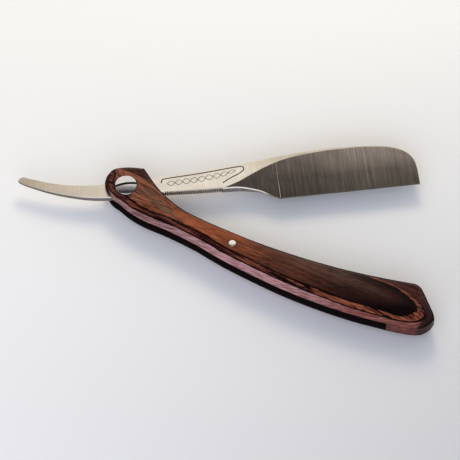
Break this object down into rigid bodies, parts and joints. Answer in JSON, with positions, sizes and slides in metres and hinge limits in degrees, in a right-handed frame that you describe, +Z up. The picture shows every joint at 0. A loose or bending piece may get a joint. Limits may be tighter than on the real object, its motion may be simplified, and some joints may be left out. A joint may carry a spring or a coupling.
{
  "type": "straight razor",
  "caption": "Folding straight razor: a hollow-ground steel blade with a curved tang turns on a slotted screw between two crowned laminated-wood scales.",
  "frame": {"origin": "the pivot axis where it meets the surface that the razor lies on, at the middle of the nut's flat head", "axes": "+X along the handle to its tail, +Y to the side on which the blade opens, +Z up out of the surface, along the pivot screw"},
  "size_m": [0.1828, 0.085, 0.0138],
  "materials": {
    "blade_steel": "brushed tang, fine cross-ground hollow faces",
    "scale_wood": "polished resin-laminated wood, dark and rose plies",
    "wedge_wood": "satin laminated wood, rose plies",
    "screw_chrome": "polished",
    "washer_brass": "satin",
    "pin_nickel": "polished nickel silver"
  },
  "bodies": {
    "handle": {"upper_scale": "scale_wood", "lower_scale": "scale_wood", "tail_wedge": "wedge_wood", "pivot_screw": "screw_chrome", "pivot_nut": "screw_chrome", "upper_thrust_washer": "washer_brass", "lower_thrust_washer": "washer_brass", "mid_pin": "pin_nickel"},
    "blade": {"blade": "blade_steel"}
  },
  "joints": [
    {"name": "blade_pivot", "type": "hinge", "parent": "handle", "child": "blade", "pos_m": [0, 0, 0.0069], "axis": [0, 0, 1], "range_deg": [-31, 239]}
  ]
}
